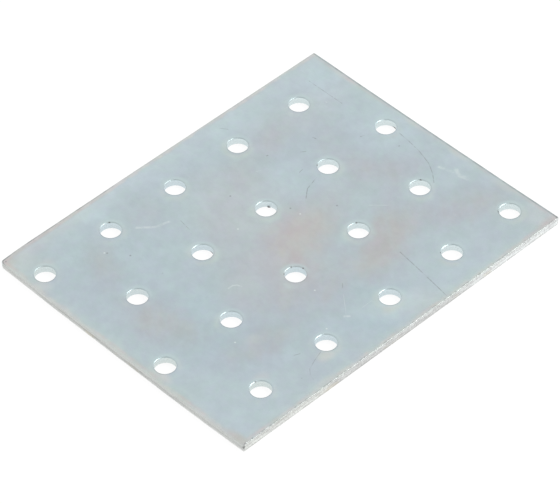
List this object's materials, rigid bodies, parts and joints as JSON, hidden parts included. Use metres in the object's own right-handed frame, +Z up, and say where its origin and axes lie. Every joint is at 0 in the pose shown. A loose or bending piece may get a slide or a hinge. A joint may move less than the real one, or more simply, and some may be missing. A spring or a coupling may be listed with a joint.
{
  "type": "mending plate",
  "caption": "Flat rectangular steel mending plate with staggered rows of round nail holes, for joining timbers edge to edge.",
  "frame": {"origin": "middle of the underside, on the surface that the plate lies on", "axes": "+X along the rows of holes (the 100 mm side), +Y across them, +Z up out of the face that the holes were punched from"},
  "size_m": [0.1, 0.08, 0.002],
  "materials": {
    "zinc_plated_steel": "bright zinc plating with a pale blue passivation, satin"
  },
  "bodies": {
    "root": {"plate": "zinc_plated_steel"}
  },
  "joints": []
}
